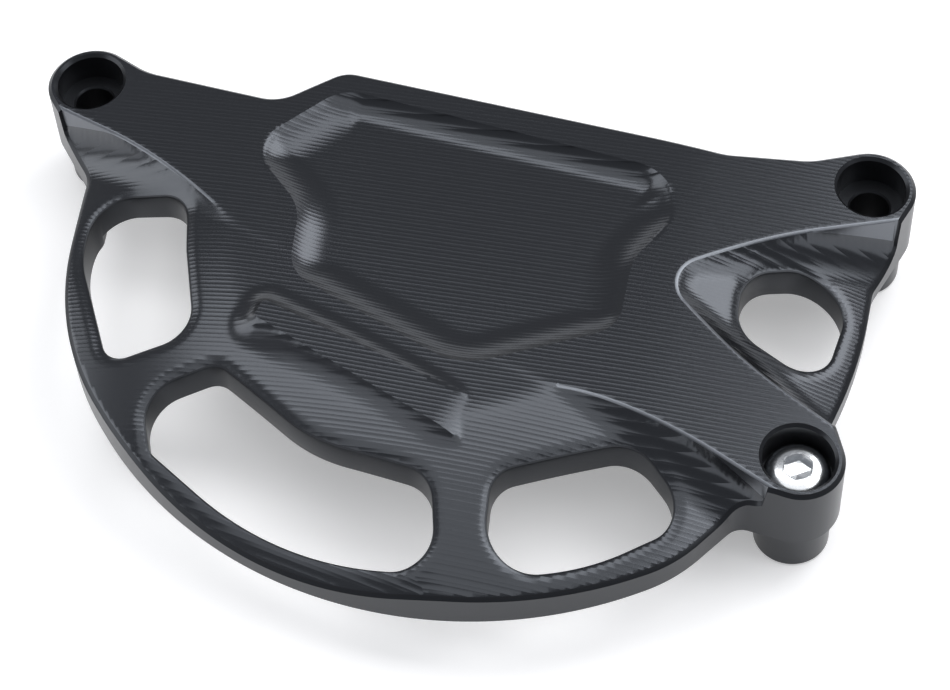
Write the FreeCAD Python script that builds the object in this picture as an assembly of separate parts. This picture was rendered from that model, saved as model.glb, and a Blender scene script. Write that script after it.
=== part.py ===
import FreeCAD, Part
import math
import os

from FreeCAD import Vector

# Alternator cover guard, milled from one billet, with one button head screw in a counterbore.
# Millimetres. Origin: axis of bolt hole A on the plane of the three spigot feet. +Z points out of
# the engine, +X runs from bolt hole A to bolt hole B.

# Bolt bosses
BOLT_A = (0.0, 0.0)
BOLT_B = (129.0, 0.0)
BOLT_C = (124.3, -52.1)
BOSS_RADIUS = 7.05
SPIGOT_RADIUS = 5.9
SPIGOT_LENGTH = 8.8
BORE_RADIUS = 3.2
COUNTERBORE_RADIUS = 5.5
COUNTERBORE_DEPTH = 5.6
MOUTH_CHAMFER = 0.3
FOOT_CHAMFER = 0.4

# Heights, from the spigot feet
BODY_FLOOR = SPIGOT_LENGTH
BOSS_TOP = BODY_FLOOR + 13.2
PLATEAU_RISE = 2.0
PLATEAU = BOSS_TOP + PLATEAU_RISE

# Crown of the top: a flat plateau between arms that fall to the bosses
CROWN_LEFT_X = 33.0
CROWN_RIGHT_X = 98.0
CROWN_BLEND = 6.0

# Dome that falls from the plateau to the rim, a surface of revolution
DOME_CENTRE = (64.0, -22.0)
DOME_FLAT_RADIUS = 31.0
DOME_FLAT_SLOPE = 0.02
DOME_SHOULDER_WIDTH = 4.0
DOME_SHOULDER_SLOPE = 0.2
DOME_OUTER_WIDTH = 25.0
DOME_OUTER_SLOPE = 0.42
DOME_REACH = 112.0
SHELL_THICKNESS = 5.8

# Sloping flat that thins the rim beside the kidney window: a point on it and its slopes
RIM_FLAT_POINT = (47.0, -77.0, 13.3)
RIM_FLAT_SLOPE_X = 0.2
RIM_FLAT_SLOPE_Y = 0.6
RIM_FLAT_ROOM = 17.0

# How far the cutters reach past what they cut
CLEARANCE = 12.0

# Cutter radii of the concave corners
WALL_FILLET = 6.35
POCKET_FILLET = 7.5

# Recessed centre field
POCKET_DEPTH = 2.3

# Raised wing beside the centre field
WING_RISE = 2.4
WING_TIP_X = 39.0
WING_END_X = 78.0

# Wall left round the hollow underside
RIM_WALL = 3.5

# Button head screw M6
SCREW_SHANK_RADIUS = 3.0
SCREW_LENGTH = 16.0
SCREW_HEAD_RADIUS = 5.25
SCREW_HEAD_HEIGHT = 3.3
SCREW_HEAD_EDGE = 0.6
SCREW_KEY = 4.0
SCREW_SOCKET_DEPTH = 2.1
SCREW_TIP_CHAMFER = 0.8

# Outer outline, anticlockwise. A corner is x, y and its radius, and a boss is its centre alone.
OUTLINE = [
    BOLT_A,
    (2.6, -14.4, 6.0),
    (4.9, -45.0, 50.0),
    (55.0, -102.6, 67.4),
    (108.6, -68.6, 26.0),
    (116.3, -58.0, 3.0),
    BOLT_C,
    (127.6, -42.0, 3.0),
    (131.2, -27.5, 80.0),
    (131.5, -13.3, 5.0),
    BOLT_B,
    (118.8, 3.3, 12.0),
    (105.3, 1.7, 12.0),
    (41.6, 7.7, 5.0),
    (32.1, 0.0, 7.0),
    (8.8, 3.4, 12.0),
]

# Windows through the web: corners with their radii, anticlockwise
WINDOW_LEFT = [
    (6.4, -19.4, 6.2),
    (5.9, -30.4, 17.5),
    (16.0, -50.6, 4.0),
    (29.2, -45.6, 5.4),
    (24.1, -30.2, 25.0),
    (21.7, -20.1, 5.5),
]
WINDOW_KIDNEY = [
    (23.2, -55.6, 6.0),
    (26.4, -63.9, 3.0),
    (44.3, -80.1, 55.0),
    (74.2, -78.4, 5.6),
    (70.6, -64.0, 5.5),
    (51.4, -61.5, 26.0),
    (34.3, -50.6, 3.5),
]
WINDOW_LOWER = [
    (79.6, -62.2, 5.0),
    (80.7, -77.7, 7.0),
    (96.1, -72.5, 38.0),
    (110.2, -61.5, 5.6),
    (99.6, -52.6, 6.5),
]
WINDOW_RIGHT = [
    (111.6, -29.6, 5.6),
    (125.8, -34.2, 5.6),
    (128.0, -19.0, 5.8),
    (121.6, -14.3, 7.0),
    (111.4, -19.2, 7.0),
]

# Where the straight edges of the arms start, inside the plateau
ARM_A_START = (44.0, -24.7)
ARM_B_START = (89.0, -22.7)
ARM_C_UPPER_START = (89.0, -22.7)
ARM_C_LOWER_START = (84.0, -40.6)
ARM_C_SHOULDER = 0.95
LOBE_CORNER = 7.0
LOBE_BEND = 40.0

# Wing at its top edge, and the block that it is milled from
WING = [(38.9, -43.7), (73.3, -58.1), (79.5, -53.0), (39.6, -40.5)]
WING_CORNER = 1.2
WING_STOCK = [(29.0, -62.0), (88.0, -66.0), (92.0, -50.0), (62.0, -38.0), (29.0, -28.0)]

# Recessed field at its top edge
POCKET = [
    (29.7, -9.7, 5.6),
    (40.5, -20.6, 9.0),
    (41.6, -33.2, 7.0),
    (71.3, -46.0, 11.0),
    (94.1, -34.9, 6.0),
    (94.1, -21.7, 9.0),
    (104.4, -4.7, 8.4),
    (42.1, 3.9, 7.3),
]


def corner_arc(before, point, after, radius):
    """Start, middle and end of the arc that rounds a corner."""
    u = (Vector(*before, 0) - Vector(*point, 0)).normalize()
    v = (Vector(*after, 0) - Vector(*point, 0)).normalize()
    half = u.getAngle(v) / 2
    along = radius / math.tan(half)
    bisector = (u + v).normalize()
    centre = Vector(*point, 0) + bisector * (radius / math.sin(half))
    middle = centre - bisector * radius
    return Vector(*point, 0) + u * along, middle, Vector(*point, 0) + v * along


def tangent_point(point, centre, radius, side):
    """Where the line from a point touches a circle. Side 1 has the circle on its left."""
    to_centre = Vector(*centre, 0) - Vector(*point, 0)
    spread = math.asin(radius / to_centre.Length)
    angle = math.atan2(to_centre.y, to_centre.x) - side * spread
    reach = math.sqrt(to_centre.Length**2 - radius**2)
    return (point[0] + reach * math.cos(angle), point[1] + reach * math.sin(angle))


def rounded_wire(corners, boss_radius=0.0, height=0.0):
    """Closed wire of lines and tangent arcs round corners and bosses, taken anticlockwise."""
    count = len(corners)
    arcs = []
    for i, corner in enumerate(corners):
        before, after = corners[i - 1], corners[(i + 1) % count]
        if len(corner) == 2:
            start = tangent_point(before[:2], corner, boss_radius, 1)
            end = tangent_point(after[:2], corner, boss_radius, -1)
            a0 = math.atan2(start[1] - corner[1], start[0] - corner[0])
            a1 = math.atan2(end[1] - corner[1], end[0] - corner[0])
            if a1 < a0:
                a1 += 2 * math.pi
            mid = (a0 + a1) / 2
            middle = Vector(*corner, 0) + Vector(math.cos(mid), math.sin(mid), 0) * boss_radius
            arcs.append((Vector(*start, 0), middle, Vector(*end, 0)))
            continue
        point = corner[:2]
        if len(before) == 2:
            before = tangent_point(point, before, boss_radius, -1)
        if len(after) == 2:
            after = tangent_point(point, after, boss_radius, 1)
        if corner[2] == 0:
            sharp = Vector(*point, 0)
            arcs.append((sharp, sharp, sharp))
            continue
        arcs.append(corner_arc(before[:2], point, after[:2], corner[2]))
    edges = []
    for i, (start, middle, end) in enumerate(arcs):
        if (end - start).Length > 1e-6:
            edges.append(Part.Arc(start, middle, end).toShape())
        next_start = arcs[(i + 1) % count][0]
        if (next_start - end).Length > 1e-6:
            edges.append(Part.LineSegment(end, next_start).toShape())
    wire = Part.Wire(Part.__sortEdges__(edges))
    wire.translate(Vector(0, 0, height))
    return wire


def prism(wire, bottom, top):
    """Solid from a flat wire at height 0, from bottom to top."""
    face = Part.Face(wire)
    face.translate(Vector(0, 0, bottom))
    return face.extrude(Vector(0, 0, top - bottom))


def polygon_prism(points, bottom, top):
    """Solid from straight sides."""
    corners = [Vector(x, y, 0) for x, y in points]
    return prism(Part.makePolygon(corners + corners[:1]), bottom, top)


def cylinder(centre, radius, bottom, top):
    return Part.makeCylinder(radius, top - bottom, Vector(*centre, bottom))


def upright_edges(solid):
    """Straight edges along Z."""
    found = []
    for edge in solid.Edges:
        start, end = edge.Vertexes[0].Point, edge.Vertexes[-1].Point
        if abs(start.x - end.x) < 1e-6 and abs(start.y - end.y) < 1e-6:
            found.append(edge)
    return found


def dome_height(radius):
    """Height of the dome's surface at a radius from its axis."""
    height = PLATEAU - DOME_FLAT_SLOPE * (radius - DOME_FLAT_RADIUS)
    bend = DOME_SHOULDER_SLOPE - DOME_FLAT_SLOPE
    inside = radius - DOME_FLAT_RADIUS
    if inside > DOME_SHOULDER_WIDTH:
        height -= bend * DOME_SHOULDER_WIDTH / 2 + bend * (inside - DOME_SHOULDER_WIDTH)
    elif inside > 0:
        height -= bend * inside**2 / (2 * DOME_SHOULDER_WIDTH)
    outside = inside - DOME_SHOULDER_WIDTH
    if outside > 0:
        height -= (DOME_OUTER_SLOPE - DOME_SHOULDER_SLOPE) * outside**2 / (2 * DOME_OUTER_WIDTH)
    return height


def dome_solid(drop, far_z):
    """Solid between the dome, lowered by drop, and the level far_z above or below it."""
    step = DOME_SHOULDER_WIDTH / 2
    radii = [DOME_FLAT_RADIUS * part for part in (0.0, 0.5, 0.85)]
    radii += [DOME_FLAT_RADIUS + step * i for i in range(4)]
    start = radii[-1]
    radii += [start + (DOME_REACH - start) * i / 4 for i in range(1, 5)]
    profile = Part.BSplineCurve()
    profile.interpolate([Vector(0, r, dome_height(r) - drop) for r in radii])
    inner, outer = profile.StartPoint, profile.EndPoint
    edges = [
        profile.toShape(),
        Part.LineSegment(outer, Vector(0, outer.y, far_z)).toShape(),
        Part.LineSegment(Vector(0, outer.y, far_z), Vector(0, 0, far_z)).toShape(),
        Part.LineSegment(Vector(0, 0, far_z), inner).toShape(),
    ]
    face = Part.Face(Part.Wire(edges))
    solid = face.revolve(Vector(0, 0, 0), Vector(0, 0, 1), 360)
    solid.translate(Vector(*DOME_CENTRE, 0))
    return solid


def stepped_dome(drop, far_z):
    """Solid like the dome's, from cones, for the underside."""
    outer = DOME_FLAT_RADIUS + DOME_SHOULDER_WIDTH
    radii = [DOME_FLAT_RADIUS, outer + 4, outer + 12, outer + 20, outer + 34, outer + 52]
    top = PLATEAU - drop
    points = [Vector(0, 0, top), Vector(0, DOME_FLAT_RADIUS, top)]
    points += [Vector(0, r, dome_height(r) - drop) for r in radii[1:]]
    points += [Vector(0, radii[-1], far_z), Vector(0, 0, far_z)]
    face = Part.Face(Part.makePolygon(points + points[:1]))
    solid = face.revolve(Vector(0, 0, 0), Vector(0, 0, 1), 360)
    solid.translate(Vector(*DOME_CENTRE, 0))
    return solid


def crown_solid(y_low, y_high):
    """Everything below the crowned top: flat between two arms that fall to their bosses."""
    left_fall = PLATEAU_RISE / (CROWN_LEFT_X - BOLT_A[0])
    right_fall = PLATEAU_RISE / (BOLT_B[0] - CROWN_RIGHT_X)
    x0, x1 = BOLT_A[0] - 2 * BOSS_RADIUS, BOLT_B[0] + 2 * BOSS_RADIUS
    z0 = PLATEAU - left_fall * (CROWN_LEFT_X - x0)
    z1 = PLATEAU - right_fall * (x1 - CROWN_RIGHT_X)

    def blend(x, fall):
        start = Vector(x - CROWN_BLEND, 0, PLATEAU - (fall * CROWN_BLEND if fall > 0 else 0))
        end = Vector(x + CROWN_BLEND, 0, PLATEAU + (fall * CROWN_BLEND if fall < 0 else 0))
        middle = Vector(x, 0, PLATEAU - abs(fall) * CROWN_BLEND / 4)
        return start, middle, end

    a0, am, a1 = blend(CROWN_LEFT_X, left_fall)
    b0, bm, b1 = blend(CROWN_RIGHT_X, -right_fall)
    edges = [
        Part.LineSegment(Vector(x0, 0, 0), Vector(x0, 0, z0)).toShape(),
        Part.LineSegment(Vector(x0, 0, z0), a0).toShape(),
        Part.Arc(a0, am, a1).toShape(),
        Part.LineSegment(a1, b0).toShape(),
        Part.Arc(b0, bm, b1).toShape(),
        Part.LineSegment(b1, Vector(x1, 0, z1)).toShape(),
        Part.LineSegment(Vector(x1, 0, z1), Vector(x1, 0, 0)).toShape(),
        Part.LineSegment(Vector(x1, 0, 0), Vector(x0, 0, 0)).toShape(),
    ]
    face = Part.Face(Part.Wire(edges))
    face.translate(Vector(0, y_low, 0))
    return face.extrude(Vector(0, y_high - y_low, 0))


def beyond(start, through, reach):
    """Point past another on the same line."""
    line = Vector(*through, 0) - Vector(*start, 0)
    point = Vector(*through, 0) + line.normalize() * reach
    return (point.x, point.y)


def wing_stock(outline):
    """Block round the wing, up to the wing's sloping top."""
    rise = WING_RISE / (WING_END_X - WING_TIP_X)
    block = polygon_prism(WING_STOCK, PLATEAU - 4, PLATEAU + 8)
    x0, x1 = WING_TIP_X - 15, WING_END_X + 30
    above = [
        Vector(x0, 0, PLATEAU + rise * (WING_END_X - x0)),
        Vector(x1, 0, PLATEAU - rise * (x1 - WING_END_X)),
        Vector(x1, 0, PLATEAU + 30),
        Vector(x0, 0, PLATEAU + 30),
    ]
    face = Part.Face(Part.makePolygon(above + above[:1]))
    box = block.BoundBox
    face.translate(Vector(0, box.YMin - CLEARANCE, 0))
    return block.cut(face.extrude(Vector(0, box.YLength + 2 * CLEARANCE, 0))).common(outline)


def wing_prism():
    wing = polygon_prism(WING, 0.0, PLATEAU + 30)
    return wing.makeFillet(WING_CORNER, upright_edges(wing))


def foot_edges(cutter):
    """Lower edges where a cutter's inner sides meet its floor. The far sides lie along X or Y."""
    found = []
    for edge in cutter.Edges:
        box = edge.BoundBox
        if box.ZMax > PLATEAU + 3 or box.XLength < 1e-3 or box.YLength < 1e-3:
            continue
        faces = cutter.ancestorsOfType(edge, Part.Face)
        upright = [f for f in faces if abs(f.normalAt(*middle_of(f)).z) < 1e-3]
        if len(upright) == 1:
            found.append(edge)
    return found


def middle_of(face):
    u0, u1, v0, v1 = face.ParameterRange
    return (u0 + u1) / 2, (v0 + v1) / 2


def valley_cutter():
    """Clears the block round the wing down to the plateau."""
    xs = [x for x, y in WING_STOCK]
    ys = [y for x, y in WING_STOCK]
    x0, x1 = min(xs) - 3 * CLEARANCE, max(xs) + CLEARANCE
    y0, y1 = min(ys) - 3 * CLEARANCE, max(ys) + 3 * CLEARANCE
    grown = [(x0, y0), (x1, y0), (x1, y1), (x0, y1)]
    room = polygon_prism(grown, PLATEAU, PLATEAU + 14).cut(wing_prism())
    feet = []
    for edge in room.Edges:
        box = edge.BoundBox
        if box.ZMax < PLATEAU + 1e-3 and box.XLength < 60 and box.YLength < 60:
            feet.append(edge)
    return room.makeFillet(WALL_FILLET, feet)


def lobe_cutters():
    """What the ball cutter takes away over the dome on both sides of the arm to boss C."""
    touch_a = tangent_point(ARM_A_START, BOLT_A, BOSS_RADIUS, -1)
    touch_low = tangent_point(ARM_C_LOWER_START, BOLT_C, BOSS_RADIUS, 1)
    touch_high = tangent_point(ARM_C_UPPER_START, BOLT_C, BOSS_RADIUS + ARM_C_SHOULDER, -1)
    touch_b = tangent_point(ARM_B_START, BOLT_B, BOSS_RADIUS, 1)
    end_a = beyond(ARM_A_START, touch_a, 14.0)
    end_low = beyond(ARM_C_LOWER_START, touch_low, 10.0)
    end_high = beyond(ARM_C_UPPER_START, touch_high, 10.0)
    end_b = beyond(ARM_B_START, touch_b, 10.0)
    near = [
        end_a + (0,),
        (end_a[0], -92.0, 0),
        (end_low[0], -92.0, 0),
        end_low + (0,),
        ARM_C_LOWER_START + (LOBE_BEND,),
        ARM_A_START + (LOBE_BEND,),
    ]
    right = [ARM_C_UPPER_START + (LOBE_CORNER,), end_high + (0,), (end_b[0], end_high[1], 0), end_b + (0,)]
    cutters = []
    for outline in (near, right):
        room = prism(rounded_wire(outline), -60.0, PLATEAU + 14)
        lobe = dome_solid(0.0, PLATEAU + 14).common(room).cut(wing_prism()).Solids[0]
        cutters.append(lobe.makeFillet(WALL_FILLET, foot_edges(lobe)))
    return cutters


def pocket_cutter():
    """Recessed field with a flat floor and concave walls."""
    floor = PLATEAU - POCKET_DEPTH
    width = math.sqrt(2 * POCKET_FILLET * POCKET_DEPTH - POCKET_DEPTH**2)
    wire = rounded_wire(POCKET).makeOffset2D(POCKET_FILLET - width)
    block = prism(wire, floor, floor + POCKET_FILLET + 6)
    rim = [e for e in block.Edges if e.BoundBox.ZMax < floor + 1e-3]
    return block.makeFillet(POCKET_FILLET, rim)


def underside(outline_wire):
    """Hollow below the dome, inside the rim wall and clear of the bosses."""
    inner = outline_wire.makeOffset2D(-RIM_WALL)
    room = prism(inner, 0.0, PLATEAU)
    for centre in (BOLT_A, BOLT_B, BOLT_C):
        room = room.cut(cylinder(centre, BOSS_RADIUS, -1.0, PLATEAU + 1))
    return stepped_dome(SHELL_THICKNESS, -1.0).common(room)


def rim_flat(outline):
    """Room above the sloping flat on the near part of the rim."""
    box = outline.BoundBox
    x, y, z = RIM_FLAT_POINT
    x0, x1 = box.XMin - CLEARANCE, box.XMax + CLEARANCE
    low_y = box.YMin - CLEARANCE
    high_y = y + RIM_FLAT_ROOM

    def level(at_y):
        return z + RIM_FLAT_SLOPE_X * (x0 - x) + RIM_FLAT_SLOPE_Y * (at_y - y)

    top = box.ZMax + CLEARANCE
    section = [
        Vector(x0, low_y, level(low_y)),
        Vector(x0, high_y, level(high_y)),
        Vector(x0, high_y, top),
        Vector(x0, low_y, top),
    ]
    face = Part.Face(Part.makePolygon(section + section[:1]))
    return face.extrude(Vector(x1 - x0, 0, RIM_FLAT_SLOPE_X * (x1 - x0)))


def boss_bores(centre):
    """Counterbore with its chamfered mouth and the bolt hole below it."""
    seat = BOSS_TOP - COUNTERBORE_DEPTH
    bore = cylinder(centre, BORE_RADIUS, -1.0, BOSS_TOP)
    counterbore = cylinder(centre, COUNTERBORE_RADIUS, seat, BOSS_TOP + 6)
    mouth = Part.makeCone(
        COUNTERBORE_RADIUS,
        COUNTERBORE_RADIUS + MOUTH_CHAMFER + 1,
        MOUTH_CHAMFER + 1,
        Vector(*centre, BOSS_TOP - MOUTH_CHAMFER),
    )
    return bore.fuse([counterbore, mouth])


def spigot(centre):
    """Foot below a boss that reaches down to the engine cover."""
    foot = cylinder(centre, SPIGOT_RADIUS, 0.0, BODY_FLOOR + 1)
    ring = [e for e in foot.Edges if e.BoundBox.ZMax < 1e-3]
    return foot.makeChamfer(FOOT_CHAMFER, ring)


def make_guard_body():
    outline_wire = rounded_wire(OUTLINE, BOSS_RADIUS)
    outline = prism(outline_wire, BODY_FLOOR, PLATEAU + CLEARANCE)
    box = outline.BoundBox
    body = crown_solid(box.YMin - CLEARANCE, box.YMax + CLEARANCE).common(outline)
    body = body.fuse(wing_stock(outline))
    body = body.cut(valley_cutter())
    for cutter in lobe_cutters():
        body = body.cut(cutter)
    body = body.cut(pocket_cutter())
    body = body.cut(rim_flat(outline))
    body = body.cut(underside(outline_wire))
    for window in (WINDOW_LEFT, WINDOW_KIDNEY, WINDOW_LOWER, WINDOW_RIGHT):
        body = body.cut(prism(rounded_wire(window), 0.0, PLATEAU + CLEARANCE))
    for centre in (BOLT_A, BOLT_B, BOLT_C):
        body = body.fuse(spigot(centre))
    body = body.removeSplitter()
    for centre in (BOLT_A, BOLT_B, BOLT_C):
        body = body.cut(boss_bores(centre))
    return body


def make_cover_screw():
    """M6 button head screw with a hex socket, seated in the counterbore of boss C."""
    seat = BOSS_TOP - COUNTERBORE_DEPTH
    shank = cylinder(BOLT_C, SCREW_SHANK_RADIUS, seat - SCREW_LENGTH, seat + 1)
    tip = [e for e in shank.Edges if e.BoundBox.ZMax < seat - SCREW_LENGTH + 1e-3]
    shank = shank.makeChamfer(SCREW_TIP_CHAMFER, tip)
    flat = SCREW_HEAD_RADIUS * 0.5
    low = Vector(SCREW_HEAD_RADIUS, 0, SCREW_HEAD_EDGE)
    high = Vector(flat, 0, SCREW_HEAD_HEIGHT)
    bulge = Vector(SCREW_HEAD_RADIUS * 0.84, 0, SCREW_HEAD_HEIGHT * 0.74)
    edges = [
        Part.LineSegment(Vector(0, 0, 0), Vector(SCREW_HEAD_RADIUS, 0, 0)).toShape(),
        Part.LineSegment(Vector(SCREW_HEAD_RADIUS, 0, 0), low).toShape(),
        Part.Arc(low, bulge, high).toShape(),
        Part.LineSegment(high, Vector(0, 0, SCREW_HEAD_HEIGHT)).toShape(),
        Part.LineSegment(Vector(0, 0, SCREW_HEAD_HEIGHT), Vector(0, 0, 0)).toShape(),
    ]
    head = Part.Face(Part.Wire(edges)).revolve(Vector(0, 0, 0), Vector(0, 0, 1), 360)
    corner = SCREW_KEY / math.sqrt(3)
    hexagon = [
        Vector(corner * math.cos(math.radians(30 + 60 * i)), corner * math.sin(math.radians(30 + 60 * i)), 0)
        for i in range(6)
    ]
    socket = Part.Face(Part.makePolygon(hexagon + hexagon[:1]))
    socket.translate(Vector(0, 0, SCREW_HEAD_HEIGHT - SCREW_SOCKET_DEPTH))
    head = head.cut(socket.extrude(Vector(0, 0, SCREW_HEAD_HEIGHT)))
    head.translate(Vector(*BOLT_C, seat))
    return shank.fuse(head).removeSplitter()


def main():
    os.makedirs("parts", exist_ok=True)
    for name, shape in (("guard_body", make_guard_body()), ("cover_screw", make_cover_screw())):
        box = shape.BoundBox
        print(name, shape.ShapeType, "solids", len(shape.Solids), "valid", shape.isValid())
        print("  faces", len(shape.Faces), "volume", round(shape.Volume), "box", box)
        solid = shape.Solids[0] if len(shape.Solids) == 1 else shape
        solid.exportStep("parts/%s.step" % name)


main()
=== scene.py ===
import math

import bmesh
import bpy
import numpy as np
from mathutils import Matrix, Vector
from mathutils.geometry import delaunay_2d_cdt


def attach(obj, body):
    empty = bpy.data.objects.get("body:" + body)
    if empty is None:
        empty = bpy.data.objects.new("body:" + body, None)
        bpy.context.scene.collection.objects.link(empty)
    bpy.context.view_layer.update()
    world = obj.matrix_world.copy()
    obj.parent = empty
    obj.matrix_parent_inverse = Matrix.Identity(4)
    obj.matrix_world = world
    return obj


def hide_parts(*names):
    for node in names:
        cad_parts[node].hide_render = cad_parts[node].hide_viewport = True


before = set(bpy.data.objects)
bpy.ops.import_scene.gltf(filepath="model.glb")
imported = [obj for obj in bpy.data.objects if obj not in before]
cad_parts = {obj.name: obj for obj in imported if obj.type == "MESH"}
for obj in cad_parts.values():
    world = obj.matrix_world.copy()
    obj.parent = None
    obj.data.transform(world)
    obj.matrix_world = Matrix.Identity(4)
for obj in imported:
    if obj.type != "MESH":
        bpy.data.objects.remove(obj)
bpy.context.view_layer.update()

scene = bpy.context.scene


# Loops and distances in plan, in millimetres

def turnArc(before, point, after, radius, step):  # points of the arc that rounds a corner
    point = np.array(point[:2], float)
    u = np.array(before[:2], float) - point
    v = np.array(after[:2], float) - point
    u /= np.linalg.norm(u)
    v /= np.linalg.norm(v)
    if radius == 0:
        return [point]
    half = math.acos(max(-1, min(1, float(u @ v)))) / 2
    along = radius / math.tan(half)
    bisector = (u + v) / np.linalg.norm(u + v)
    centre = point + bisector * radius / math.sin(half)
    start, end = point + u * along, point + v * along
    a0 = math.atan2(*(start - centre)[::-1])
    a1 = math.atan2(*(end - centre)[::-1])
    turn = (a1 - a0 + math.pi) % (2 * math.pi) - math.pi
    count = max(2, int(abs(turn) * radius / step) + 1)
    angles = a0 + turn * np.linspace(0, 1, count + 1)
    return list(centre + radius * np.stack([np.cos(angles), np.sin(angles)], 1))


# where the line from a point touches a circle. Side 1 has the circle on its left
def touch(point, centre, radius, side):
    to = np.array(centre, float) - np.array(point[:2], float)
    far = np.linalg.norm(to)
    angle = math.atan2(to[1], to[0]) - side * math.asin(radius / far)
    reach = math.sqrt(far**2 - radius**2)
    return np.array(point[:2]) + reach * np.array([math.cos(angle), math.sin(angle)])


# lines and tangent arcs round corners and bosses, taken anticlockwise
def roundedLoop(corners, step, bossRadius=0.0, closed=True):
    count = len(corners)
    points = []
    for i, corner in enumerate(corners):
        if not closed and i in (0, count - 1):
            points.append(np.array(corner[:2], float))
            continue
        before, after = corners[i - 1], corners[(i + 1) % count]
        if len(corner) == 2:
            centre = np.array(corner, float)
            start = touch(before, corner, bossRadius, 1)
            end = touch(after, corner, bossRadius, -1)
            a0 = math.atan2(*(start - centre)[::-1])
            a1 = math.atan2(*(end - centre)[::-1])
            turn = (a1 - a0) % (2 * math.pi)
            angles = a0 + turn * np.linspace(0, 1, int(turn * bossRadius / step) + 2)
            points += list(centre + bossRadius * np.stack([np.cos(angles), np.sin(angles)], 1))
            continue
        if len(before) == 2:
            before = touch(corner, before, bossRadius, -1)
        if len(after) == 2:
            after = touch(corner, after, bossRadius, 1)
        points += turnArc(before, corner, after, corner[2], step)
    return evenly(np.array(points), step, closed)


def evenly(points, step, closed=True):  # the same line with points at an even spacing
    ring = np.vstack([points, points[:1]]) if closed else points
    length = np.concatenate([[0], np.cumsum(np.linalg.norm(np.diff(ring, axis=0), axis=1))])
    count = max(3, int(round(length[-1] / step)))
    at = np.linspace(0, length[-1], count + 1)
    if closed:
        at = at[:-1]
    return np.stack([np.interp(at, length, ring[:, 0]), np.interp(at, length, ring[:, 1])], 1)


def outward(loop, closed=True):  # unit normals of an anticlockwise loop, pointing out of it
    if closed:
        along = np.roll(loop, -1, 0) - np.roll(loop, 1, 0)
    else:
        along = np.gradient(loop, axis=0)
    along /= np.linalg.norm(along, axis=1)[:, None]
    return np.stack([along[:, 1], -along[:, 0]], 1)


# distance from each point to a line, the nearest place on it and how far along that is
def nearest(points, line, closed=True):
    a = line
    b = np.roll(line, -1, 0) if closed else line[1:]
    if not closed:
        a = line[:-1]
    ab = b - a
    size = np.linalg.norm(ab, axis=1)
    start = np.concatenate([[0], np.cumsum(size)])[:-1]
    distance = np.empty(len(points))
    foot = np.empty((len(points), 2))
    along = np.empty(len(points))
    for low in range(0, len(points), 4000):
        p = points[low:low + 4000]
        ap = p[:, None] - a[None]
        t = np.clip((ap * ab).sum(2) / size**2, 0, 1)
        gap = ap - t[..., None] * ab
        squared = (gap**2).sum(2)
        best = squared.argmin(1)
        rows = np.arange(len(p))
        distance[low:low + 4000] = np.sqrt(squared[rows, best])
        foot[low:low + 4000] = a[best] + t[rows, best][:, None] * ab[best]
        along[low:low + 4000] = start[best] + t[rows, best] * size[best]
    return distance, foot, along


def within(points, loop):  # true for the points inside a closed loop
    x, y = points[:, 0], points[:, 1]
    found = np.zeros(len(points), bool)
    for (x0, y0), (x1, y1) in zip(loop, np.roll(loop, -1, 0)):
        crosses = (y0 > y) != (y1 > y)
        with np.errstate(divide="ignore", invalid="ignore"):
            at = (x1 - x0) * (y - y0) / (y1 - y0) + x0
        found ^= crosses & (x < at)
    return found


# Guard: sizes in millimetres, origin at bolt hole A on the plane of the spigot feet

bolts = [(0.0, 0.0), (129.0, 0.0), (124.3, -52.1)]
guard = {
    "bossRadius": 7.05, "spigotRadius": 5.9, "boreRadius": 3.2, "counterbore": 5.5, "counterboreDepth": 5.6,
    "floor": 8.8, "mouth": 22.0, "plateau": 24.0, "shell": 5.8, "rimWall": 3.5,
    "crown": (33.0, 98.0), "crownBlend": 6.0,
    "domeCentre": (64.0, -22.0), "domeFlat": 31.0, "domeStart": 0.02, "shoulder": 4.0, "shoulderSlope": 0.2,
    "outerWidth": 25.0, "outerSlope": 0.42, "ball": 6.35,
    "rimFlat": (47.0, -77.0, 13.3), "rimSlope": (0.2, 0.6),
    "pocketDepth": 2.3, "pocketWall": 12.0, "pocketFarWall": 5.0,
    "wingSlope": 0.062, "wingEnd": 78.0, "wingBend": (69.0, -56.0), "wingAlong": (0.923, -0.386),
    "wingBendRadius": 14.0,
    "ridgeChamfer": 0.5, "ridgeReach": 0.6, "ridgeFade": (8.0, 6.0), "crestBlend": 0.25, "crestLeast": 0.3,
    "rimBlend": 1.2, "rimFrom": -58.0, "mouthChamfer": 0.5, "windowEdge": 0.35, "windowLip": 0.1,
    "lip": 2.0, "lipSlope": 0.55, "edge": 0.6, "footEdge": 0.25, "boreEdge": 0.3, "boreFootEdge": 0.2,
    "spigotEdge": 0.4, "spigotFillet": 0.2,
}
outlineCorners = [
    bolts[0], (2.6, -14.4, 6.0), (4.9, -45.0, 50.0), (55.0, -102.6, 67.4), (108.6, -68.6, 26.0),
    (116.3, -58.0, 3.0), bolts[2], (127.6, -42.0, 3.0), (131.2, -27.5, 80.0), (131.5, -13.3, 5.0), bolts[1],
    (118.8, 3.3, 12.0), (105.3, 1.7, 12.0), (41.6, 7.7, 5.0), (32.1, 0.0, 7.0), (8.8, 3.4, 12.0),
]
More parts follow.
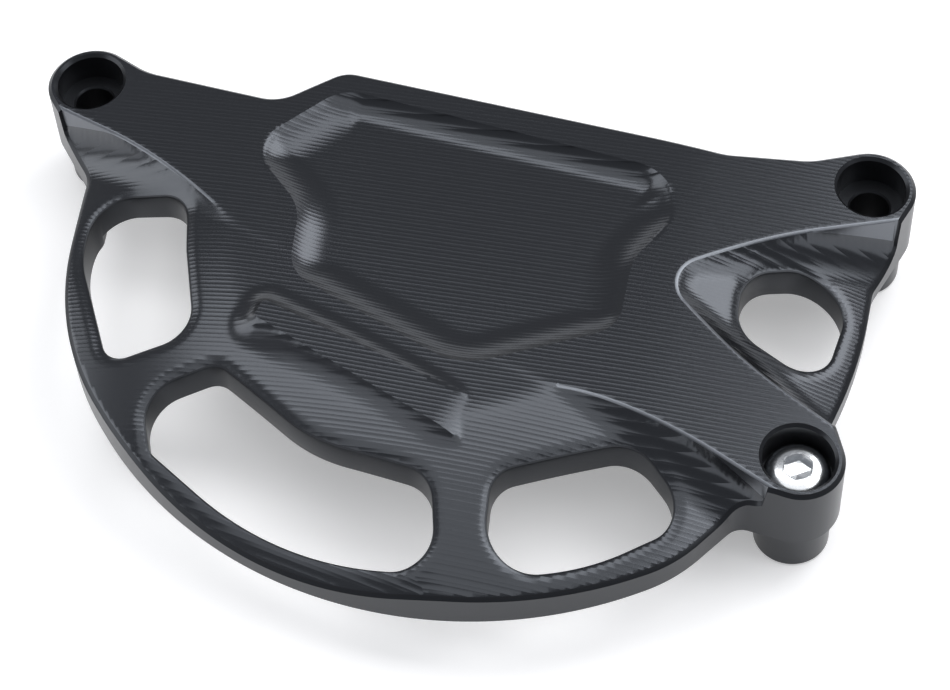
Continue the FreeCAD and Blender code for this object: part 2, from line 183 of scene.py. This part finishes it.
windowCorners = {
    "left": [(6.4, -19.4, 6.2), (5.9, -30.4, 17.5), (16.0, -50.6, 4.0), (29.2, -45.6, 5.4),
             (24.1, -30.2, 25.0), (21.7, -20.1, 5.5)],
    "kidney": [(23.2, -55.6, 6.0), (26.3, -64.4, 3.0), (49.4, -78.2, 62.0), (74.0, -78.4, 5.6),
               (70.6, -64.0, 5.5), (51.4, -61.5, 26.0), (34.3, -50.6, 3.5)],
    "lower": [(79.6, -62.2, 5.0), (80.7, -77.7, 7.0), (96.1, -72.5, 38.0), (110.2, -61.5, 5.6),
              (99.6, -52.6, 6.5)],
    "right": [(111.6, -29.6, 5.6), (125.8, -34.2, 5.6), (128.0, -19.0, 5.8), (121.6, -14.3, 7.0),
              (111.4, -19.2, 7.0)],
}
pocketCorners = [
    (29.7, -9.7, 5.6), (40.5, -20.6, 9.0), (41.6, -33.2, 7.0), (71.3, -46.0, 11.0), (94.1, -34.9, 6.0),
    (94.1, -21.7, 9.0), (104.4, -4.7, 8.4), (42.1, 3.9, 7.3),
]
wingCorners = [(38.9, -43.7, 0.6), (78.8, -60.4, 0.8), (84.0, -54.3, 0.8), (39.6, -40.5, 0.6)]
armStart = {"a": (44.0, -24.7), "b": (89.0, -22.7), "c": (84.0, -40.6)}
lobe = {"reach": 10.0, "reachA": 14.0, "highClear": 0.95, "nearBend": 40.0, "rightBend": 7.0, "lowY": -95}

step = 0.5  # spacing of points along the loops
seam = 0.03  # plan width of an upright step in a sheet
outline = roundedLoop(outlineCorners, step, guard["bossRadius"])
windows = {name: roundedLoop(corners, step) for name, corners in windowCorners.items()}
pocket = roundedLoop(pocketCorners, step)
wing = roundedLoop(wingCorners, step)


def beyond(start, through, reach):
    line = np.array(through, float) - np.array(start, float)
    return tuple(np.array(through) + line / np.linalg.norm(line) * reach)


endA = beyond(armStart["a"], touch(armStart["a"], bolts[0], guard["bossRadius"], -1), lobe["reachA"])
endLow = beyond(armStart["c"], touch(armStart["c"], bolts[2], guard["bossRadius"], 1), lobe["reach"])
highRadius = guard["bossRadius"] + lobe["highClear"]
endHigh = beyond(armStart["b"], touch(armStart["b"], bolts[2], highRadius, -1), lobe["reach"])
endB = beyond(armStart["b"], touch(armStart["b"], bolts[1], guard["bossRadius"], 1), lobe["reach"])
nearTurns = [armStart[arm] + (lobe["nearBend"],) for arm in "ca"]
nearLine = roundedLoop([endLow, *nearTurns, endA], step, closed=False)
nearLobe = np.vstack([nearLine, [(endA[0], lobe["lowY"]), (endLow[0], lobe["lowY"])]])
rightLine = roundedLoop([endB, armStart["b"] + (lobe["rightBend"],), endHigh], step, closed=False)
rightLobe = np.vstack([rightLine, [(endB[0], endHigh[1])]])


# Heights of the top, in millimetres above the spigot feet

def crownHeight(x):
    low, high = guard["crown"]
    blend = guard["crownBlend"]
    rise = guard["plateau"] - guard["mouth"]
    left = rise / (low - bolts[0][0])
    right = rise / (bolts[1][0] - high)

    def fall(inside, slope):  # falls at a slope below 0, with a smooth bend
        bent = slope * (inside - blend)**2 / (4 * blend)
        return np.where(inside > blend, 0, np.where(inside < -blend, -slope * inside, bent))

    return guard["plateau"] - fall(x - low, left) - fall(high - x, right)


def domeHeight(p):
    r = np.hypot(p[:, 0] - guard["domeCentre"][0], p[:, 1] - guard["domeCentre"][1])
    inside = r - guard["domeFlat"]
    bend = guard["shoulderSlope"] - guard["domeStart"]
    width = guard["shoulder"]
    z = guard["plateau"] - guard["domeStart"] * inside
    bent = bend * np.clip(inside, 0, None)**2 / (2 * width)
    z -= np.where(inside > width, bend * (inside - width / 2), bent)
    outside = np.clip(inside - width, 0, None)
    return z - (guard["outerSlope"] - guard["shoulderSlope"]) * outside**2 / (2 * guard["outerWidth"])


def wingHeight(p):  # the wing's sloping top, which bends down past its end
    past = (p - guard["wingBend"]) @ guard["wingAlong"]
    fall = np.clip(past, 0, None)**2 / (2 * guard["wingBendRadius"])
    return guard["plateau"] + guard["wingSlope"] * (guard["wingEnd"] - p[:, 0]) - fall


def ballFoot(t, radius):  # rise of a concave foot of that radius at a distance from an upright wall
    reach = np.clip(radius - t, 0, radius)
    return radius - np.sqrt(radius**2 - reach**2)


def flank(d, height, radius):  # concave flank that rises to a height at its top edge, d away from it
    height = np.clip(height, 0, radius)
    width = np.sqrt(2 * radius * height - height**2)
    reach = np.clip(width - d, 0, None)
    return radius - np.sqrt(radius**2 - reach**2)


def smoothLower(a, b, width):  # the lower of two heights, blended over a width
    mix = np.clip(0.5 + 0.5 * (b - a) / width, 0, 1)
    return b * (1 - mix) + a * mix - width * mix * (1 - mix)


def topHeight(p):  # height of the machined top at each point
    crown = crownHeight(p[:, 0])
    dome = domeHeight(p)
    cut = np.full(len(p), 1e3)
    for line, area in ((nearLine, nearLobe), (rightLine, rightLobe)):
        t = nearest(p, line, closed=False)[0]
        cut = np.where(within(p, area), np.minimum(cut, dome + ballFoot(t, guard["ball"])), cut)
    base = smoothLower(crown, cut, guard["crestBlend"])
    for crest in crests:
        signed, slope = fromCrest(p, crest)
        into = np.clip(signed + guard["ridgeChamfer"], 0, None)
        rounded = crown - slope * into**2 / (2 * guard["ridgeChamfer"])
        base = np.where((into > 0) & (signed < guard["ridgeReach"]), np.minimum(base, rounded), base)
    dWing, footWing = nearest(p, wing)[:2]
    rise = wingHeight(footWing) - np.minimum(guard["plateau"], domeHeight(footWing))
    inside = within(p, wing) | (dWing < seam)
    base = np.where(inside, np.maximum(base, wingHeight(p)), base + flank(dWing, rise, guard["ball"]))
    dPocket, footPocket = nearest(p, pocket)[:2]
    wall = flank(dPocket, guard["pocketDepth"], pocketRadius(footPocket))
    sunk = guard["plateau"] - guard["pocketDepth"] + wall
    base = np.where(within(p, pocket), np.minimum(base, sunk), base)
    flattened = smoothLower(base, rimHeight(p), guard["rimBlend"])
    base = np.where(p[:, 1] < guard["rimFrom"], flattened, base)
    width = guard["lip"]
    for loop in windows.values():
        near = ((p > loop.min(0) - width) & (p < loop.max(0) + width)).all(1)
        d = nearest(p[near], loop)[0]
        base[near] -= guard["lipSlope"] * np.clip(width - d, 0, None)**2 / (2 * width)
    return base


def fromCrest(p, crest):  # distance past a crest, towards its flank, and the slope of its rounding there
    along, foot, s = nearest(p, crest["line"], closed=False)
    index = np.clip(np.round(s / step).astype(int), 0, len(crest["line"]) - 1)
    side = ((p - foot) * crest["normal"][index]).sum(1)
    return np.where(side > 0, along, -along), crest["slope"][index]


def rimHeight(p):  # the sloping flat along the rim
    x, y, z = guard["rimFlat"]
    return z + guard["rimSlope"][0] * (p[:, 0] - x) + guard["rimSlope"][1] * (p[:, 1] - y)


def pocketRadius(foot):  # the recess has a tight wall on its far side and wide ones elsewhere
    slope, level, blend = 0.138, 6.6, 2.2  # the far wall's line y = level - slope * x
    start, fade = 43, 3
    far = np.clip((foot[:, 1] + slope * foot[:, 0] - level) / blend, 0, 1)
    far *= np.clip((foot[:, 0] - start) / fade, 0, 1)
    return guard["pocketWall"] - (guard["pocketWall"] - guard["pocketFarWall"]) * far


def underHeight(p):  # height of the hollow underside
    hollow = within(p, innerRim)
    for bolt in bolts:
        hollow &= np.hypot(p[:, 0] - bolt[0], p[:, 1] - bolt[1]) > guard["bossRadius"]
    roof = np.minimum(domeHeight(p), guard["plateau"]) - guard["shell"]
    return np.where(hollow, np.maximum(roof, guard["floor"]), guard["floor"])


innerRim = outline - outward(outline) * guard["rimWall"]


def crestLine(line, area):  # where the ball cutter's flank meets the top of an arm, found along each normal
    normal = outward(line, closed=False)
    third = len(line) // 3
    if not within(line[third][None] + normal[third] * step, area)[0]:
        normal = -normal
    low = np.zeros(len(line))
    high = np.full(len(line), guard["ball"])

    def above(t):
        p = line + normal * t[:, None]
        return domeHeight(p) + ballFoot(t, guard["ball"]) - crownHeight(p[:, 0])

    exists = above(high) < -guard["crestLeast"]
    steep = above(low) < 0
    for turn in range(30):
        middle = (low + high) / 2
        over = above(middle) > 0
        low = np.where(over, middle, low)
        high = np.where(over, high, middle)
    t = np.where(steep, -seam / 3, high)
    reach = np.clip(guard["ball"] - t, 0, guard["ball"] * 0.999)
    wall = reach / np.sqrt(guard["ball"]**2 - reach**2)
    return line + normal * t[:, None], normal, exists, np.clip(0.6 * wall, 0, 1)


def crestRuns():  # the crests that lie on the part, each with its normals and the slope of its chamfer
    runs = []
    shortest = 6
    for line, area in ((nearLine, nearLobe), (rightLine, rightLobe)):
        crest, normal, exists, slope = crestLine(line, area)
        start = None
        for i in range(len(crest) + 1):
            good = i < len(crest) and exists[i]
            if good and start is None:
                start = i
            if not good and start is not None:
                if i - start > shortest:
                    run = slice(start, i)
                    runs.append({"line": crest[run], "normal": normal[run], "slope": slope[run]})
                start = None
    return runs


crests = crestRuns()
for crest in crests:
    even = evenly(crest["line"], step, closed=False)
    index = nearest(even, crest["line"], closed=False)[2]
    span = np.concatenate([[0], np.cumsum(np.linalg.norm(np.diff(crest["line"], axis=0), axis=1))])
    for key in ("normal", "slope"):
        value = np.atleast_2d(crest[key].T).T
        crest[key] = np.stack([np.interp(index, span, value[:, k]) for k in range(value.shape[1])], 1)
    ends = np.arange(len(even)) * step
    fade, later = guard["ridgeFade"]
    crest["slope"] = crest["slope"][:, 0] * np.clip(np.minimum(ends, ends[::-1] + later) / fade, 0, 1)
    crest["line"] = even
print("crests", [len(crest["line"]) for crest in crests])


# Flat triangulation of the top and the underside, joined by walls

class Sheet:  # points and fixed lines for one flat triangulation

    def __init__(self):
        self.points = []
        self.edges = []
        self.count = 0

    def add(self, points, closed=None):
        start = self.count
        self.points.append(np.asarray(points, float))
        self.count += len(points)
        if closed is not None:
            self.edges += [(start + i, start + i + 1) for i in range(len(points) - 1)]
            if closed:
                self.edges.append((start + len(points) - 1, start))
        return np.arange(start, start + len(points))

    # triangles whose middle passes keep. Returns the points, triangles and where each input went
    def triangulate(self, keep):
        flat = np.vstack(self.points)
        made = delaunay_2d_cdt([Vector(p) for p in flat], self.edges, [], 0, 1e-6)
        points = np.array([tuple(v) for v in made[0]])
        faces = np.array([tuple(f) for f in made[2]])
        moved = np.full(len(flat), -1)
        for new, sources in enumerate(made[3]):
            for old in sources:
                moved[old] = new
        middle = points[faces].mean(1)
        return points, faces[keep(middle)], moved


gridLow, gridHigh = (-9, -84), (138, 10)


def grid(low, high, spacing):
    rows = []
    y = low[1]
    odd = 0
    while y < high[1]:
        x = np.arange(low[0] + odd * spacing / 2, high[0], spacing)
        rows.append(np.stack([x, np.full(len(x), y)], 1))
        odd = 1 - odd
        y += spacing * 0.866  # rows of even triangles
    return np.vstack(rows)


def circle(centre, radius, count=96):
    angles = 2 * math.pi * np.arange(count) / count
    return np.array(centre) + radius * np.stack([np.cos(angles), np.sin(angles)], 1)


def planOf(loops):  # test for points inside the first loop and outside the others
    def keep(points):
        ok = within(points, loops[0])
        for loop in loops[1:]:
            ok &= ~within(points, loop)
        return ok
    return keep


def runsInside(line, keep):  # the stretches of an open line that pass keep
    ok = keep(line)
    runs, run = [], []
    for i, good in enumerate(ok):
        if good:
            run.append(line[i])
        if run and (not good or i == len(ok) - 1):
            if len(run) > 2:
                runs.append(np.array(run))
            run = []
    return runs


# triangulated sheet inside rims, with lines as edges and a grid between
def sheetWith(rims, lines, spacing):
    far = 9.0
    sheet = Sheet()
    spots = [sheet.add(rim, True) for rim in rims]
    keep = planOf(rims)
    clear = list(rims)
    for line, closed in lines:
        for run in ([line] if closed else runsInside(line, keep)):
            sheet.add(run, closed)
            clear.append(np.vstack([run, run[:1]]) if closed else run)
    inner = grid(gridLow, gridHigh, spacing)
    inner = inner[keep(inner)]
    gap = np.full(len(inner), far)
    for line in clear:
        gap = np.minimum(gap, nearest(inner, line, closed=False)[0])
    sheet.add(inner[gap > spacing * 0.45])
    points, faces, moved = sheet.triangulate(keep)
    spots = [moved[spot] for spot in spots]
    return points, withoutStrays(faces, spots, len(points)), spots


def withoutStrays(faces, spots, count):
    # a sliver outside a rim has an edge that nothing else uses and that isn't on a rim
    def code(a, b):
        return np.minimum(a, b) * count + np.maximum(a, b)

    used = code(faces, np.roll(faces, -1, 1))
    names, times = np.unique(used, return_counts=True)
    rim = np.concatenate([code(spot, np.roll(spot, -1)) for spot in spots])
    single = names[times == 1]
    stray = np.isin(used, single[~np.isin(single, rim)]).any(1)
    return faces[~stray]


class Shell:  # mesh built from sheets and the walls between their rims, in millimetres

    def __init__(self):
        self.verts = []
        self.faces = []
        self.count = 0

    def add(self, plan, z):
        start = self.count
        z = np.broadcast_to(z, len(plan))
        self.verts.append(np.column_stack([plan, z]))
        self.count += len(plan)
        return np.arange(start, start + len(plan))

    # quads between two rings of equal count. The upper ring runs anticlockwise round solid
    def wall(self, upper, lower, flip=False):
        n = len(upper)
        for i in range(n):
            j = (i + 1) % n
            quad = (upper[j], upper[i], lower[i], lower[j])
            self.faces.append(quad[::-1] if flip else quad)

    def walls(self, chain, flip=False):
        for upper, lower in zip(chain, chain[1:]):
            self.wall(upper, lower, flip)

    def build(self, name):
        mesh = bpy.data.meshes.new(name)
        verts = np.vstack(self.verts) * 0.001
        mesh.from_pydata(verts.tolist(), [], [tuple(int(i) for i in face) for face in self.faces])
        mesh.validate()
        thing = bpy.data.objects.new(name, mesh)
        scene.collection.objects.link(thing)
        return thing


# milled and rim are real finishes; side carries a painted shade and ridge a painted highlight
finishesAndPaintedLight = {"milled": 0, "side": 1, "rim": 2, "ridge": 3}  # order of the guard's materials


# material of the top: real milled and rim finishes, and a painted highlight on the ridge chamfers
def topFinishAndPaintedHighlight(middle):  # material of each face of the top, from its middle
    rimDepth, pastRidge, leastSlope = 0.35, 0.05, 0.1
    onRim = (middle[:, 1] < guard["rimFrom"]) & (topHeight(middle) > rimHeight(middle) - rimDepth)
    found = np.where(onRim, finishesAndPaintedLight["rim"], finishesAndPaintedLight["milled"])
    for crest in crests:
        signed, slope = fromCrest(middle, crest)
        # ridge chamfer faces get the stronger-reflecting material, a painted highlight
        ridge = (signed > -guard["ridgeChamfer"]) & (signed < pastRidge) & (slope > leastSlope)
        found = np.where(ridge, finishesAndPaintedLight["ridge"], found)
    return found


def makeGuard(spacing, underSpacing):
    outNormal = outward(outline)
    rims = [outline - outNormal * guard["edge"]]
    rims += [circle(bolt, guard["counterbore"] + guard["mouthChamfer"]) for bolt in bolts]
    rims += [loop + outward(loop) * guard["windowEdge"] for loop in windows.values()]
    lines = [(pocket, True), (wing, True)]
    for crest in crests:
        shift = guard["ridgeChamfer"]
        for offset in (0, -shift, -shift / 2, seam):
            lines.append((crest["line"] + crest["normal"] * offset, False))
    points, faces, spots = sheetWith(rims, lines, spacing)
    shell = Shell()
    shell.add(points, topHeight(points))
    shell.faces += [tuple(face) for face in faces]
    print("top sheet", len(points), len(faces))

    innerNormal = {name: outward(loop) for name, loop in windows.items()}
    under = [outline - outNormal * guard["footEdge"]]
    under += [circle(bolt, guard["spigotRadius"] + guard["spigotFillet"]) for bolt in bolts]
    under += list(windows.values())
    rimLines = [(innerRim, False), (innerRim - outNormal * seam, False)]
    for bolt in bolts:
        rimLines += [(circle(bolt, guard["bossRadius"] + out), False) for out in (0, seam)]
    lowPoints, lowFaces, lowSpots = sheetWith(under, rimLines, underSpacing)
    start = shell.count
    shell.add(lowPoints, underHeight(lowPoints))
    shell.faces += [tuple(int(i) + start for i in face[::-1]) for face in lowFaces]
    lowSpots = [spot + start for spot in lowSpots]
    print("under sheet", len(lowPoints), len(lowFaces))

    edgeZ = topHeight(outline - outNormal * guard["edge"]) - guard["edge"]
    footZ = guard["floor"] + guard["footEdge"]
    levels = [shell.add(outline, z) for z in (edgeZ, (edgeZ + footZ) / 2, footZ)]
    shell.walls([spots[0]] + levels + [lowSpots[0]])
    seat = guard["mouth"] - guard["counterboreDepth"]
    bore, spigot = guard["boreRadius"], guard["spigotRadius"]
    for k, bolt in enumerate(bolts):
        mouth = topHeight(circle(bolt, guard["counterbore"] + guard["mouthChamfer"]))
        profile = [
            (guard["counterbore"], mouth - guard["mouthChamfer"]), (guard["counterbore"], seat),
            (bore + guard["boreEdge"], seat), (bore, seat - guard["boreEdge"]),
            (bore, guard["boreFootEdge"]), (bore + guard["boreFootEdge"], 0),
            (spigot - guard["spigotEdge"], 0), (spigot, guard["spigotEdge"]),
            (spigot, guard["floor"] - guard["spigotFillet"]),
        ]
        levels = [shell.add(circle(bolt, radius), z) for radius, z in profile]
        shell.walls([spots[1 + k]] + levels + [lowSpots[1 + k]], flip=True)
    for k, (name, loop) in enumerate(windows.items()):
        z = topHeight(loop + innerNormal[name] * guard["windowEdge"])
        lip = shell.add(loop + innerNormal[name] * guard["windowLip"], z - guard["windowLip"])
        inner = shell.add(loop, z - guard["windowEdge"])
        shell.walls([spots[1 + len(bolts) + k], lip, inner, lowSpots[1 + len(bolts) + k]], flip=True)
    thing = shell.build("guardShell")
    # walls and the underside get the weaker-reflecting material, a painted shade
    finishAndPaintedLight = np.full(len(thing.data.polygons), finishesAndPaintedLight["side"])
    finishAndPaintedLight[:len(faces)] = topFinishAndPaintedHighlight(points[faces].mean(1))
    thing.data.polygons.foreach_set("material_index", finishAndPaintedLight)
    return thing


def smooth(thing, sharp):  # smooth shading with sharp edges, and a count of what would be open
    mesh = thing.data
    mesh.shade_smooth()
    mesh.set_sharp_from_angle(angle=math.radians(sharp))
    check = bmesh.new()
    check.from_mesh(mesh)
    print(thing.name, "faces", len(check.faces), "open edges", sum(not e.is_manifold for e in check.edges),
          "volume", round(check.calc_volume() * 1e9))
    check.free()


guardObject = makeGuard(0.5, 1.3)
smooth(guardObject, 26)
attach(guardObject, "root")
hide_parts("guard_body")


# Camera at the photo's angle

cameraAt = Vector((0.13306, -0.27878, 0.38870))
cameraForward = Vector((-0.13665, 0.53982, -0.83061))
cameraDown = Vector((0.14245, -0.81906, -0.55575))


def addCamera():
    data = bpy.data.cameras.new("photoCamera")
    data.lens = 108.8
    data.sensor_width = 36
    camera = bpy.data.objects.new("photoCamera", data)
    scene.collection.objects.link(camera)
    back = -cameraForward.normalized()
    up = -(cameraDown - cameraDown.dot(back) * back).normalized()
    side = up.cross(back)
    camera.matrix_world = Matrix.Translation(cameraAt) @ Matrix((side, up, back)).transposed().to_4x4()
    scene.camera = camera
    scene.render.resolution_x = 950
    scene.render.resolution_y = 690


# Light

def addLamp(name, place, aim, size, power):
    data = bpy.data.lights.new(name, "AREA")
    data.shape = "RECTANGLE"
    data.size, data.size_y = size
    data.energy = power
    lamp = bpy.data.objects.new(name, data)
    scene.collection.objects.link(lamp)
    lamp.location = place
    lamp.rotation_euler = (Vector(aim) - Vector(place)).to_track_quat("-Z", "Y").to_euler()


# Cover screw: a button head M6 screw in the boss of bolt C

screw = {
    "shank": 2.98, "core": 2.45, "pitch": 1.0, "length": 16.0, "plain": 2.0, "tip": 0.8,
    "head": 5.2, "headHeight": 3.25, "headEdge": 0.55, "crown": 2.6, "footEdge": 0.12, "neckFillet": 0.25,
    "key": 4.0, "socketDepth": 2.05, "socketBevel": 0.22, "drillDepth": 0.35, "centre": 0.05,
}


def makeScrew():
    centre = bolts[2]
    seat = guard["mouth"] - guard["counterboreDepth"] + 0.01
    count = 72
    angles = 2 * math.pi * np.arange(count) / count
    unit = np.stack([np.cos(angles), np.sin(angles)], 1)
    hexagon = screw["key"] / 2 / np.cos((angles + math.pi / 6) % (math.pi / 3) - math.pi / 6)
    shell = Shell()

    def ring(radius, z):
        return shell.add(np.array(centre) + unit * np.broadcast_to(radius, count)[:, None], z)

    top = seat + screw["headHeight"]
    floor = top - screw["socketDepth"]
    bevel = screw["socketBevel"]
    rings = [ring(screw["centre"], floor - screw["drillDepth"]), ring(hexagon * 0.92, floor - 0.05)]
    rings += [ring(hexagon, floor), ring(hexagon, top - bevel), ring(hexagon + bevel, top)]
    low, high = seat + screw["headEdge"], top - 0.05
    rings.append(ring(screw["crown"] - 0.3, top))
    for turn in np.linspace(0.08, 1, 12) * math.pi / 2:
        radius = screw["crown"] + (screw["head"] - screw["crown"]) * math.sin(turn)
        rings.append(ring(radius, low + (high - low) * math.cos(turn)))
    edge, fillet = screw["footEdge"], screw["neckFillet"]
    rings += [ring(screw["head"], seat + edge), ring(screw["head"] - edge, seat)]
    rings += [ring(screw["shank"] + fillet, seat), ring(screw["shank"], seat - fillet)]
    end = seat - screw["length"] + 0.02
    for z in np.arange(seat - screw["plain"], end + 0.3, -screw["pitch"] / 8):
        wave = np.abs(((z / screw["pitch"] - angles / (2 * math.pi)) % 1) - 0.5) * 2
        depth = (screw["shank"] - screw["core"]) * np.clip(1.25 * wave - 0.1, 0, 1)
        depth *= np.clip((seat - screw["plain"] - z) / screw["pitch"], 0, 1)
        taper = np.clip((z - end) / screw["tip"], 0, 1)
        widest = screw["core"] + (screw["shank"] - screw["core"]) * taper
        rings.append(ring(np.minimum(screw["shank"] - depth, widest), z))
    rings += [ring(screw["core"] - 0.15, end), ring(screw["centre"], end)]
    shell.walls(rings)
    shell.faces.append(tuple(rings[0]))
    shell.faces.append(tuple(rings[-1][::-1]))
    return shell.build("coverScrew")


screwObject = makeScrew()
smooth(screwObject, 32)
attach(screwObject, "root")
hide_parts("cover_screw")


# Materials

def principled(name):
    material = bpy.data.materials.new(name)
    material.use_nodes = True
    return material, material.node_tree, material.node_tree.nodes["Principled BSDF"]


# maths node with numbers or sockets as its inputs, which gives its result socket
def maths(tree, operation, *values, clamp=False):
    node = tree.nodes.new("ShaderNodeMath")
    node.operation = operation
    node.use_clamp = clamp
    for socket, value in zip(node.inputs, values):
        if isinstance(value, (int, float)):
            socket.default_value = value
        else:
            tree.links.new(value, socket)
    return node.outputs[0]


def millingGroup():  # height of the cusps that a ball cutter leaves between passes along X
    group = bpy.data.node_groups.new("millingPasses", "ShaderNodeTree")
    for name, value in (("Turn", 0.0), ("Pitch", 0.00072), ("Ball", 0.0045), ("Alternate", 0.000003)):
        socket = group.interface.new_socket(name, in_out="INPUT", socket_type="NodeSocketFloat")
        socket.default_value = value
    group.interface.new_socket("Height", in_out="OUTPUT", socket_type="NodeSocketFloat")
    given = group.nodes.new("NodeGroupInput")
    result = group.nodes.new("NodeGroupOutput")
    place = group.nodes.new("ShaderNodeTexCoord")
    split = group.nodes.new("ShaderNodeSeparateXYZ")
    group.links.new(place.outputs["Object"], split.inputs[0])
    surface = group.nodes.new("ShaderNodeNewGeometry")
    facing = group.nodes.new("ShaderNodeSeparateXYZ")
    group.links.new(surface.outputs["Normal"], facing.inputs[0])
    drift = group.nodes.new("ShaderNodeTexNoise")
    drift.inputs["Scale"].default_value = 45
    group.links.new(place.outputs["Object"], drift.inputs["Vector"])
    wanderReach = 0.00012
    wander = maths(group, "MULTIPLY", maths(group, "SUBTRACT", drift.outputs[0], 0.5), wanderReach)
    across = maths(group, "MULTIPLY_ADD", split.outputs["X"], given.outputs["Turn"], split.outputs["Y"])
    across = maths(group, "ADD", across, wander)
    double = maths(group, "MULTIPLY", given.outputs["Pitch"], 2.0)
    turns = maths(group, "DIVIDE", across, double)
    heights = []
    for shift in (0.0, 0.5):
        part = maths(group, "FRACT", maths(group, "ADD", turns, shift))
        off = maths(group, "MULTIPLY", maths(group, "SUBTRACT", part, 0.5), double)
        rise = maths(group, "DIVIDE", maths(group, "MULTIPLY", off, off), given.outputs["Ball"])
        heights.append(maths(group, "MULTIPLY", rise, 0.5))
    steep = maths(group, "DIVIDE", facing.outputs["Y"], maths(group, "MAXIMUM", facing.outputs["Z"], 0.35))
    spread = maths(group, "ADD", maths(group, "MINIMUM", maths(group, "MULTIPLY", steep, steep), 1.5), 1.0)
    flankStep = 0.00006  # how much shallower every second pass is on a steep flank
    excess = maths(group, "SUBTRACT", spread, 1.0)
    uneven = maths(group, "MULTIPLY_ADD", excess, flankStep, given.outputs["Alternate"])
    second = maths(group, "ADD", heights[1], uneven)
    lower = maths(group, "MINIMUM", heights[0], second)
    flat = maths(group, "MULTIPLY", maths(group, "SUBTRACT", facing.outputs["Z"], 0.3), 4.0, clamp=True)
    height = maths(group, "MULTIPLY", maths(group, "MULTIPLY", lower, spread), flat)
    group.links.new(height, result.inputs["Height"])
    return group


passes = millingGroup()


def anodisedMaterial(name, look, turn=None):  # a turn gives it milling lines, in y per x
    material, tree, shader = principled(name)
    shader.inputs["Base Color"].default_value = look["base"] + (1,)
    shader.inputs["Metallic"].default_value = look["metallic"]
    shader.inputs["Roughness"].default_value = look["roughness"]
    shader.inputs["Specular IOR Level"].default_value = look["specular"]
    shader.inputs["IOR"].default_value = look["ior"]
    shader.inputs["Specular Tint"].default_value = look["sheen"] + (1,)
    if turn is not None:
        lines = tree.nodes.new("ShaderNodeGroup")
        lines.node_tree = passes
        lines.inputs["Turn"].default_value = turn
        bump = tree.nodes.new("ShaderNodeBump")
        bump.inputs["Strength"].default_value = 1.0
        bump.inputs["Distance"].default_value = 1.0
        tree.links.new(lines.outputs["Height"], bump.inputs["Height"])
        tree.links.new(bump.outputs["Normal"], shader.inputs["Normal"])
    return material


look = {"base": (0.008, 0.0083, 0.0095), "metallic": 0.0, "roughness": 0.22, "specular": 0.42, "ior": 1.76,
        "sheen": (0.84, 0.9, 1.0)}
anodised = anodisedMaterial("anodised", look, 0.0)
# upright walls: unmilled and rougher, and reflecting less strongly than the rest of the same anodising, a
# painted shade on the sides
anodisedSidePaintedShade = anodisedMaterial("anodisedSidePaintedShade", {**look, "specular": 0.22, "roughness": 0.3})
# ridge chamfers: unmilled like a deburred edge, and reflecting more strongly than the rest of the same
# anodising, a painted highlight along the crests
anodisedRidgePaintedHighlight = anodisedMaterial("anodisedRidgePaintedHighlight", {**look, "specular": 1.0, "roughness": 0.3})
anodisedRim = anodisedMaterial("anodisedRim", look, 0.25)

zinc, tree, shader = principled("zinc")
shader.inputs["Base Color"].default_value = (0.74, 0.76, 0.78, 1)
shader.inputs["Metallic"].default_value = 1.0
shader.inputs["Roughness"].default_value = 0.22

# side and ridge are copies of one anodising, dimmed and brightened: painted shade and painted highlight
for material in (anodised, anodisedSidePaintedShade, anodisedRim, anodisedRidgePaintedHighlight):  # as in finishes
    guardObject.data.materials.append(material)
screwObject.data.materials.append(zinc)


# Floor and light

def addFloor():
    mesh = bpy.data.meshes.new("floor")
    half, low = 1.6, -0.0001
    mesh.from_pydata([(-half, -half, low), (half, -half, low), (half, half, low), (-half, half, low)], [],
                     [(0, 1, 2, 3)])
    floor = bpy.data.objects.new("floor", mesh)
    scene.collection.objects.link(floor)
    material, tree, shader = principled("paleFloor")
    shader.inputs["Base Color"].default_value = (0.88, 0.88, 0.89, 1)
    shader.inputs["Roughness"].default_value = 0.85
    shader.inputs["Specular IOR Level"].default_value = 0.1
    path = tree.nodes.new("ShaderNodeLightPath")
    seen = maths(tree, "ADD", path.outputs["Is Camera Ray"], path.outputs["Is Glossy Ray"])
    seen = maths(tree, "ADD", seen, path.outputs["Is Transmission Ray"], clamp=True)
    shader.inputs["Emission Color"].default_value = (1, 1, 1, 1)
    tree.links.new(maths(tree, "MULTIPLY", seen, 0.3), shader.inputs["Emission Strength"])
    mesh.materials.append(material)


def addWorld():
    world = bpy.data.worlds.new("studio")
    scene.world = world
    world.use_nodes = True
    tree = world.node_tree
    tree.nodes.clear()
    out = tree.nodes.new("ShaderNodeOutputWorld")
    light = tree.nodes.new("ShaderNodeBackground")
    shown = tree.nodes.new("ShaderNodeBackground")
    light.inputs["Color"].default_value = (0.75, 0.77, 0.82, 1)
    light.inputs["Strength"].default_value = 0.36
    shown.inputs["Color"].default_value = (1, 1, 1, 1)
    shown.inputs["Strength"].default_value = 1.0
    mix = tree.nodes.new("ShaderNodeMixShader")
    path = tree.nodes.new("ShaderNodeLightPath")
    tree.links.new(path.outputs["Is Camera Ray"], mix.inputs[0])
    tree.links.new(light.outputs[0], mix.inputs[1])
    tree.links.new(shown.outputs[0], mix.inputs[2])
    tree.links.new(mix.outputs[0], out.inputs["Surface"])


addFloor()
addCamera()
addWorld()
addLamp("overhead", (0.02, 0.16, 0.75), (0.02, 0.16, 0.0), (1.15, 0.28), 2.7)
addLamp("front", (0.07, -0.22, 0.75), (0.07, -0.22, 0.0), (0.9, 0.4), 1.1)
addLamp("left", (-0.9, -0.2, 0.42), (0.02, -0.03, 0.0), (1.1, 0.55), 4.2)
addLamp("right", (0.56, -0.03, 0.5), (0.1, -0.03, 0.02), (0.35, 0.35), 1.0)
addLamp("rightBack", (0.4, 0.365, 0.52), (0.09, -0.03, 0.02), (0.36, 0.36), 1.6)
addLamp("behind", (0.05, 1.1, 0.22), (0.05, 0.0, 0.0), (1.8, 0.4), 1.8)

scene.render.engine = "CYCLES"
scene.view_settings.view_transform = "Standard"
